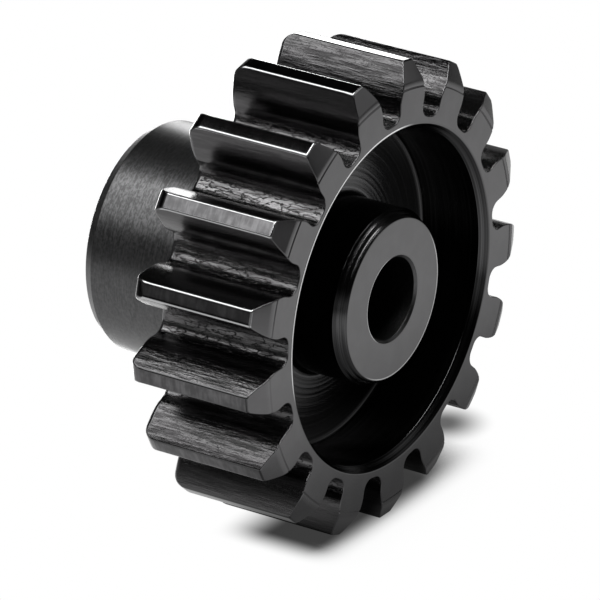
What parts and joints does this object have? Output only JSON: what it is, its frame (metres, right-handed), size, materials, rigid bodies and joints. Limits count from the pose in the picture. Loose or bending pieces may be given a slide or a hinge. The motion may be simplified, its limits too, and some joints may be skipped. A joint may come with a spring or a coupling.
{
  "type": "pinion gear",
  "caption": "Spur pinion with a dished front face, a central boss, a plain shaft bore and a hub clamped to its shaft by a socket set screw.",
  "frame": {"origin": "centre of the shaft bore in the plane of the hub's end face, on which the gear stands", "axes": "+Z along the bore from the hub to the dished front, +X through the set screw and the middle of one tooth"},
  "size_m": [0.0283, 0.0284, 0.0171],
  "materials": {
    "gear_steel": "black oxide, glossy on turned faces, streaked along the teeth",
    "screw_steel": "black oxide, satin"
  },
  "bodies": {
    "root": {"pinion": "gear_steel", "set_screw": "screw_steel"}
  },
  "joints": []
}
